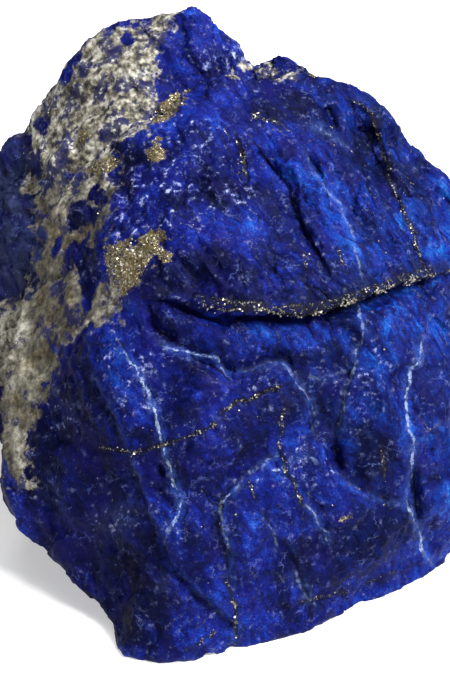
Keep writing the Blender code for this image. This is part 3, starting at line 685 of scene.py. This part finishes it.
def blend(tree, share, first, second, way="MIX"):
    """Return a colour mixed from two."""
    made = tree.nodes.new("ShaderNodeMix")
    made.data_type = "RGBA"
    made.blend_type = way
    for socket, value in ((0, share), (6, first), (7, second)):
        if isinstance(value, bpy.types.NodeSocket):
            tree.links.new(value, made.inputs[socket])
        else:
            made.inputs[socket].default_value = value
    return made.outputs[2]


def edge(tree, value, low, high):
    """Return 0 below low, 1 above high and a smooth rise between."""
    made = add(tree, "MapRange", {"Value": value, "From Min": low, "From Max": high})
    made.interpolation_type = "SMOOTHSTEP"
    return made.outputs["Result"]


def ramp(tree, value, stops):
    """Return a colour read from a ramp of (place, colour) stops."""
    made = add(tree, "ValToRGB", {0: value})
    band = made.color_ramp
    band.elements[0].position, band.elements[0].color = stops[0][0], (*stops[0][1], 1)
    band.elements[1].position, band.elements[1].color = stops[-1][0], (*stops[-1][1], 1)
    for place, colour in stops[1:-1]:
        band.elements.new(place).color = (*colour, 1)
    return made.outputs["Color"]


def mottle(tree, spot, size, detail=4.0, rough=0.55, twist=0.0):
    """Return cloudy noise whose features have the given size in millimetres."""
    return add(tree, "TexNoise", {
        "Vector": spot, "Scale": 1 / size, "Detail": detail,
        "Roughness": rough, "Distortion": twist,
    }).outputs["Fac"]


def number(tree, name):
    """Return one of the numbers kept on the mesh."""
    return add(tree, "Attribute", attribute_name=name).outputs["Fac"]


def drawn_out(tree, spot, direction, stretch):
    """Return coordinates in which a pattern is drawn out along one direction."""
    length = math.sqrt(sum(part * part for part in direction))
    direction = tuple(part / length for part in direction)
    along = add(tree, "VectorMath", {0: spot, 1: direction}, operation="DOT_PRODUCT")
    along = times(tree, along.outputs["Value"], 1 - 1 / stretch)
    shift = add(tree, "VectorMath", {0: direction, "Scale": along}, operation="SCALE").outputs[0]
    return add(tree, "VectorMath", {0: spot, 1: shift}, operation="SUBTRACT").outputs[0]


def line(tree, gap, ragged, raggedness, width):
    """Return 1 on a line of the given half width with ragged sides, and 0 beside it."""
    return inverse(tree, edge(tree, stirred(tree, gap, ragged, raggedness), width * 0.3, width))


def specks(tree, spot, size, reach, rarest):
    """Return small round specks, a few of the cells of a pattern chosen at random."""
    cells = add(tree, "TexVoronoi", {"Vector": spot, "Scale": 1 / size})
    dot = inverse(tree, edge(tree, cells.outputs["Distance"], reach * 0.4, reach))
    lucky = add(tree, "SeparateColor", {0: cells.outputs["Color"]}).outputs[0]
    return times(tree, dot, edge(tree, lucky, rarest, rarest + 0.1))


rock = bpy.data.materials.new("lapis_rock")
rock.use_nodes = True
tree = rock.node_tree
shader = tree.nodes["Principled BSDF"]
place = add(tree, "TexCoord").outputs["Object"]
spot = add(tree, "Mapping", {"Vector": place, "Scale": PER_MM}).outputs["Vector"]
drawn = drawn_out(tree, spot, DOWN_SLOPE, 3)
ragged = mottle(tree, spot, 0.6, 4, 0.65)
clumps = mottle(tree, spot, 2.2, 4, 0.62)

# blue: broad patches, streaks along the break, then fine grain
bend = add(tree, "TexNoise", {"Vector": spot, "Scale": 0.5, "Detail": 4.0, "Roughness": 0.6})
bend = bend.outputs["Color"]
crooked = add(tree, "VectorMath", {0: bend, 1: (4.0, 4.0, 4.0)}, operation="MULTIPLY").outputs[0]
crooked = add(tree, "VectorMath", {0: crooked, 1: spot}, operation="ADD").outputs[0]
broad = mottle(tree, spot, 11, 3, 0.5, 0.4)
streaks = mottle(tree, drawn, 1.9, 6, 0.68, 0.6)
grainy = mottle(tree, spot, 0.30, 3, 0.65)
faces = add(tree, "TexVoronoi", {"Vector": drawn_out(tree, crooked, DOWN_SLOPE, 2), "Scale": 0.42})
face_kind = add(tree, "SeparateColor", {0: faces.outputs["Color"]})
# painted light and shade: the brighter and lit places lighten the blue, the darker and shaded ones
# darken it
lit = stirred(tree, number(tree, "brighter_and_lit"), streaks, 2.5)
depth = sums(tree, "MULTIPLY_ADD", broad, 0.47, times(tree, streaks, 0.45))
depth = sums(tree, "ADD", depth, 0.015)
depth = sums(tree, "MULTIPLY_ADD", edge(tree, lit, 0.1, 1.0), 0.08, depth)
depth = sums(tree, "MULTIPLY_ADD", number(tree, "darker_and_shaded"), -0.11, depth)
depth = stirred(tree, depth, face_kind.outputs[0], 0.08)
depth = stirred(tree, depth, grainy, 0.34)
blue = ramp(tree, depth, BLUES)
violet = edge(tree, mottle(tree, spot, 8, 3, 0.5), 0.50, 0.66)
blue = blend(tree, times(tree, violet, 0.35), blue, VIOLET)
teal = times(tree, number(tree, "teal"), edge(tree, streaks, 0.40, 0.58))
greener = blend(tree, 1.0, blue, GREENING, "MULTIPLY")
blue = blend(tree, teal, blue, greener)

# fine host rock greys it in places
haze = times(tree, number(tree, "hazy"), edge(tree, streaks, 0.36, 0.60), clamp=True)
blue = blend(tree, times(tree, haze, 0.7), blue, HAZE_GREY)

# small pale crumbs, thick in the speckled places, and a hairline net
wisps = mottle(tree, spot, 1.0, 5, 0.66)
share = sums(tree, "MULTIPLY_ADD", edge(tree, clumps, 0.50, 0.68), 0.15, number(tree, "speckled"))
share = times(tree, share, edge(tree, clumps, 0.38, 0.58))
cottony = times(tree, edge(tree, wisps, 0.50, 0.66), share)
blue = blend(tree, times(tree, cottony, 0.7, clamp=True), blue, COTTON_BLUE)
crumb = times(tree, edge(tree, wisps, 0.58, 0.68), share)
blue = blend(tree, times(tree, crumb, 0.9, clamp=True), blue, CRUMB_WHITE)
# pale specks, partly real crumbs and partly painted glints, fewer where shade is painted
specks_and_glints = times(tree, specks(tree, spot, 0.24, 0.55, 0.86), edge(tree, clumps, 0.46, 0.66))
specks_and_glints = times(tree, specks_and_glints, sums(tree, "MULTIPLY_ADD", number(tree, "darker_and_shaded"), -0.7, 1.0, clamp=True))
blue = blend(tree, times(tree, specks_and_glints, 0.4), blue, SPECK_AND_GLINT_BLUE)
net = add(tree, "TexVoronoi", {"Vector": crooked, "Scale": 0.2}, feature="DISTANCE_TO_EDGE")
hair = inverse(tree, edge(tree, net.outputs["Distance"], 0.002, 0.022))
hair = times(tree, hair, edge(tree, mottle(tree, spot, 3.5, 4, 0.65), 0.50, 0.66))
blue = blend(tree, times(tree, hair, 0.4), blue, HAIR_BLUE)

# painted shade: the foot of each ledge is darkened as if in the ledge's shadow
rim_near = number(tree, "ledge_near")
ledge_shade = stirred(tree, number(tree, "ledge"), wisps, 2.0)
ledge_shade = times(tree, edge(tree, ledge_shade, 0.0, 0.2), inverse(tree, edge(tree, ledge_shade, 0.3, 1.5)))
ledge_shade = times(tree, ledge_shade, rim_near)
blue = blend(tree, times(tree, ledge_shade, 0.7), blue, LEDGE_SHADE_BLACK)

# white calcite veins in a paler blue halo
vein_gap = sums(tree, "ABSOLUTE", number(tree, "vein"))
vein_share = number(tree, "vein_near")
# the high side of each ledge gets the same pale blue, partly its lighter chipped edge and partly a
# painted highlight
rim_gap = times(tree, number(tree, "ledge"), -1.0)
rim = times(tree, line(tree, sums(tree, "ABSOLUTE", rim_gap), wisps, 4.0, 0.8), rim_near)
halo = times(tree, line(tree, vein_gap, wisps, 5.0, 1.1), vein_share)
frost_and_rim_highlight = sums(tree, "MAXIMUM", halo, times(tree, rim, 0.4))
frost_and_rim_highlight = times(tree, frost_and_rim_highlight, edge(tree, clumps, 0.36, 0.60))
blue = blend(tree, times(tree, frost_and_rim_highlight, 0.35), blue, HALO_BLUE)
frost_and_rim_highlight = times(tree, frost_and_rim_highlight, edge(tree, wisps, 0.48, 0.62))
blue = blend(tree, times(tree, frost_and_rim_highlight, 0.6), blue, FROST_BLUE)
core = line(tree, stirred(tree, vein_gap, clumps, 1.6), ragged, 0.8, 0.17)
core = times(tree, core, sums(tree, "MULTIPLY_ADD", edge(tree, wisps, 0.42, 0.56), 0.8, 0.2))
core = times(tree, core, times(tree, vein_share, vein_share))
blue = blend(tree, core, blue, CALCITE_WHITE)

# pale host rock: cream grains, dark gaps between them and dark blue islands
strands = drawn_out(tree, spot, (-0.35, -0.3, 0.9), 2.5)
chalky = mottle(tree, spot, 1.0, 5, 0.64)
coarse = mottle(tree, strands, 2.3, 4, 0.60)
wavering = mottle(tree, spot, 2.4, 5, 0.64)
host = edge(tree, stirred(tree, number(tree, "pale"), wavering, 10.0), -0.4, 0.8)
coarse = times(tree, coarse, 0.5)
tone = sums(tree, "MULTIPLY_ADD", chalky, 0.6, coarse)
fibres = drawn_out(tree, spot, (-0.1, -0.2, 0.97), 5)
fibrous = sums(tree, "MULTIPLY_ADD", mottle(tree, fibres, 0.6, 5, 0.66), 0.6, coarse)
even = number(tree, "even")
fibrous = sums(tree, "MULTIPLY_ADD", even, 0.02, fibrous)
tone = sums(tree, "MULTIPLY_ADD", even, 0.025, tone)
cream = ramp(tree, tone, CREAMS)
khaki = ramp(tree, fibrous, KHAKIS)
rusty = edge(tree, mottle(tree, strands, 3.5, 4, 0.6), 0.48, 0.66)
brown = blend(tree, 1.0, khaki, RUSTING, "MULTIPLY")
khaki = blend(tree, times(tree, rusty, 0.6), khaki, brown)
host_colour = blend(tree, number(tree, "cream"), khaki, cream)
islands = sums(tree, "MULTIPLY_ADD", even, -0.09, mottle(tree, strands, 3.0, 5, 0.64))
islands = edge(tree, islands, 0.49, 0.57)
islands = times(tree, islands, inverse(tree, edge(tree, chalky, 0.56, 0.66)))
host_colour = blend(tree, times(tree, islands, 0.85), host_colour, ISLAND_BLUE)
colour = blend(tree, host, blue, host_colour)

# pyrite: brown nests and thin dark seams with fine brassy grains; the dark of the seams along the
# long step also paints the shade above it
seam_gap = sums(tree, "ABSOLUTE", number(tree, "seam"))
seam_share = number(tree, "seam_near")
seam_dark_and_shade = times(tree, line(tree, seam_gap, ragged, 1.2, 0.6), sums(tree, "SQRT", seam_share))
nest_edge = edge(tree, number(tree, "nest"), 0.02, 0.3)
nest_here = stirred(tree, stirred(tree, number(tree, "nest"), clumps, 3.0), wisps, 2.5)
nest_here = times(tree, edge(tree, nest_here, 0.35, 0.75), nest_edge)
colour = blend(tree, times(tree, seam_dark_and_shade, 0.85), colour, SEAM_AND_SHADE_BLACK)
colour = blend(tree, nest_here, colour, NEST_BROWN)
grains = add(tree, "TexVoronoi", {"Vector": spot, "Scale": 4.5})
grain_kind = add(tree, "SeparateColor", {0: grains.outputs["Color"]})
along_seam = times(tree, line(tree, seam_gap, ragged, 0.7, 0.22), edge(tree, wisps, 0.48, 0.58))
along_seam = times(tree, along_seam, seam_share)
stray = edge(tree, mottle(tree, spot, 4, 4, 0.7), 0.58, 0.66)
stray = times(tree, specks(tree, spot, 0.25, 0.5, 0.9), stray)
metal = sums(tree, "MAXIMUM", along_seam, nest_here)
metal = times(tree, metal, edge(tree, grain_kind.outputs[1], 0.40, 0.60))
metal = sums(tree, "MAXIMUM", metal, stray)
brass = ramp(tree, grain_kind.outputs[0], BRASSES)
silvery = ramp(tree, grain_kind.outputs[0], SILVERS)
colour = blend(tree, metal, colour, blend(tree, nest_here, silvery, brass))

# painted shade: fissures and the finest cracks along the break are darkened inside, as shade in
# them
crack_gap = sums(tree, "ABSOLUTE", number(tree, "crack"))
crack_shade = times(tree, line(tree, crack_gap, ragged, 0.5, 0.22), number(tree, "crack_near"))
fine = drawn_out(tree, crooked, DOWN_SLOPE, 4)
fine = add(tree, "TexVoronoi", {"Vector": fine, "Scale": 0.5}, feature="DISTANCE_TO_EDGE")
fine = inverse(tree, edge(tree, fine.outputs["Distance"], 0.0, 0.035))
fine = times(tree, fine, edge(tree, mottle(tree, spot, 3.0, 4, 0.6), 0.44, 0.58))
fine = times(tree, fine, inverse(tree, host))
crack_shade = sums(tree, "MAXIMUM", crack_shade, times(tree, fine, 0.8))
colour = blend(tree, times(tree, crack_shade, 0.85), colour, CRACK_SHADE_BLACK)

# fine relief and gloss
hackle = mottle(tree, spot, 0.7, 6, 0.72, 0.2)
relief = sums(tree, "MULTIPLY_ADD", grains.outputs["Distance"], times(tree, metal, -0.5), hackle)
relief = sums(tree, "MULTIPLY_ADD", mottle(tree, drawn, 0.8, 5, 0.7), 0.8, relief)
relief = sums(tree, "MULTIPLY_ADD", crack_shade, -0.6, relief)
bump = add(tree, "Bump", {"Strength": 0.8, "Distance": 0.16 * MM, "Height": relief})
dullness = sums(tree, "MULTIPLY_ADD", hackle, 0.5, 0.2)
dullness = sums(tree, "MULTIPLY_ADD", host, 0.25, dullness)
dullness = sums(tree, "MULTIPLY_ADD", metal, -0.2, dullness, clamp=True)
tree.links.new(colour, shader.inputs["Base Color"])
tree.links.new(dullness, shader.inputs["Roughness"])
tree.links.new(times(tree, metal, 0.8), shader.inputs["Metallic"])
tree.links.new(bump.outputs["Normal"], shader.inputs["Normal"])
shader.inputs["IOR"].default_value = 1.5
shader.inputs["Specular IOR Level"].default_value = 0.04
stone.data.materials.clear()
stone.data.materials.append(rock)
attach(stone, "root")
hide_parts("lapis_stone")

# Pyrite grains
# Small brassy crystals that stand a little out of the rock, thick in the nests and in single
# file along the seams. Each is a rough cube grown into the rock.
GRAIN_COUNT = 6500
TARNISHES = [
    (0.36, (0.06, 0.053, 0.038)), (0.5, (0.33, 0.31, 0.24)), (0.62, (0.66, 0.64, 0.54)),
]
random = np.random.default_rng(41)
CUBE = np.array([[x, y, z] for x in (-1, 1) for y in (-1, 1) for z in (-1, 1)], dtype=float)
CUBE_FACES = [(0, 1, 3, 2), (4, 6, 7, 5), (0, 4, 5, 1), (2, 3, 7, 6), (0, 2, 6, 4), (1, 5, 7, 3)]


def scatter(name, weight, count, smallest, largest, sunk):
    """Set small rough cubes into the stone where the weight is high, and return the object."""
    chosen = random.choice(len(points), count, p=weight / weight.sum())
    corners = []
    faces = []
    for number_made, vertex in enumerate(chosen):
        turn = Matrix.Rotation(random.uniform(0, math.tau), 3, Vector(random.normal(size=3)))
        size = smallest + (largest - smallest) * random.random() ** 2
        shape = CUBE * size / 2 * random.uniform(0.6, 1.2, size=3)
        shape = shape + random.normal(size=(8, 3)) * size * 0.07
        jitter = random.normal(size=3) * 0.12
        inward = size * sunk + jitter @ normals[vertex]
        centre = points[vertex] + jitter - normals[vertex] * inward
        corners.append(shape @ np.array(turn).T + centre)
        faces += [tuple(8 * number_made + corner for corner in face) for face in CUBE_FACES]
    corners = np.concatenate(corners)
    corners[:, 2] = np.maximum(corners[:, 2], CLEARANCE)
    mesh = bpy.data.meshes.new(name)
    mesh.from_pydata((corners * MM).tolist(), [], faces)
    piece = bpy.data.objects.new(name, mesh)
    bpy.context.collection.objects.link(piece)
    return piece


# they crowd the seams and nests, lie in the crumbs, and a few are everywhere
in_seam = np.clip(0.42 - np.abs(seam), 0, 0.3) / 0.3 * seam_near
streaky = np.clip(soft_noise(points, 1.3, 42) * 4 + 0.1, 0, 1)
crumbly = patches(bent_x, bent_y, CRUMBS) * front
weight = in_seam * streaky * 2.2 + np.clip(nest - 0.35, 0, 1) * 1.5
weight = weight + crumbly * streaky * 0.4 + 0.0008
pyrite = scatter("pyrite_grains", weight, GRAIN_COUNT, smallest=0.08, largest=0.26, sunk=0.1)
brassy = bpy.data.materials.new("pyrite")
brassy.use_nodes = True
tree = brassy.node_tree
shader = tree.nodes["Principled BSDF"]
place = add(tree, "TexCoord").outputs["Object"]
spot = add(tree, "Mapping", {"Vector": place, "Scale": PER_MM}).outputs["Vector"]
tarnish = mottle(tree, spot, 0.5, 3, 0.6)
tree.links.new(ramp(tree, tarnish, TARNISHES), shader.inputs["Base Color"])
tree.links.new(sums(tree, "MULTIPLY_ADD", tarnish, 0.3, 0.15), shader.inputs["Roughness"])
shader.inputs["Metallic"].default_value = 1
pyrite.data.materials.append(brassy)
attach(pyrite, "root")

# Table and light
# A plain white table. A large soft light stands high on the right, a weaker one in front on the
# left, a broad one overhead, and a small hard one on the right that brings out the glints.
# Lengths here are in metres.
TABLE_SIZE = 16
TABLE_WHITE = (0.7, 0.7, 0.7, 1)
GLOW = {"From Min": 0.12, "From Max": 0.5, "To Min": 0.4, "To Max": 1.0}
ROOM_GREY = (0.125, 0.125, 0.125, 1)
bpy.ops.object.select_all(action="DESELECT")
bpy.ops.mesh.primitive_plane_add(size=TABLE_SIZE, location=(0, 0, 0))
table = bpy.context.active_object
table.name = "table"
paper = bpy.data.materials.new("table_white")
paper.use_nodes = True
finish = paper.node_tree.nodes["Principled BSDF"]
finish.inputs["Base Color"].default_value = TABLE_WHITE
finish.inputs["Roughness"].default_value = 0.8
finish.inputs["Emission Strength"].default_value = 1
# the lamps don't reach the far part of the table, so it glows more with distance
spot = add(paper.node_tree, "TexCoord").outputs["Object"]
away = add(paper.node_tree, "VectorMath", {0: spot}, operation="LENGTH").outputs["Value"]
glow = add(paper.node_tree, "MapRange", {"Value": away, **GLOW}).outputs["Result"]
paper.node_tree.links.new(glow, finish.inputs["Emission Color"])
table.data.materials.append(paper)

# lights: (name, place, size, watts)
LIGHTS = [
    ("key", (0.42, -0.20, 0.62), 0.30, 10.0),
    ("fill", (-0.45, -0.7, 0.45), 0.6, 1.6),
    ("top", (0.05, 0.15, 0.8), 0.7, 4.0),
    ("glint", (0.25, 0.1, 0.7), 0.04, 2.0),
]
for name, where, size, watts in LIGHTS:
    lamp = bpy.data.lights.new(name, "AREA")
    lamp.size = size
    lamp.energy = watts
    holder = bpy.data.objects.new(name, lamp)
    holder.location = where
    holder.rotation_euler = (LOOK_AT - Vector(where)).to_track_quat("-Z", "Y").to_euler()
    bpy.context.collection.objects.link(holder)
world = bpy.data.worlds.new("room")
world.use_nodes = True
# the room is dim for the stone and white where the camera looks past the table
dim = world.node_tree.nodes["Background"]
dim.inputs["Color"].default_value = ROOM_GREY
white = add(world.node_tree, "Background", {"Color": (1, 1, 1, 1)})
directly = add(world.node_tree, "LightPath").outputs["Is Camera Ray"]
both = add(world.node_tree, "MixShader", {0: directly, 1: dim.outputs[0], 2: white.outputs[0]})
world.node_tree.links.new(both.outputs[0], world.node_tree.nodes["World Output"].inputs["Surface"])
bpy.context.scene.world = world
bpy.context.scene.view_settings.view_transform = "Standard"
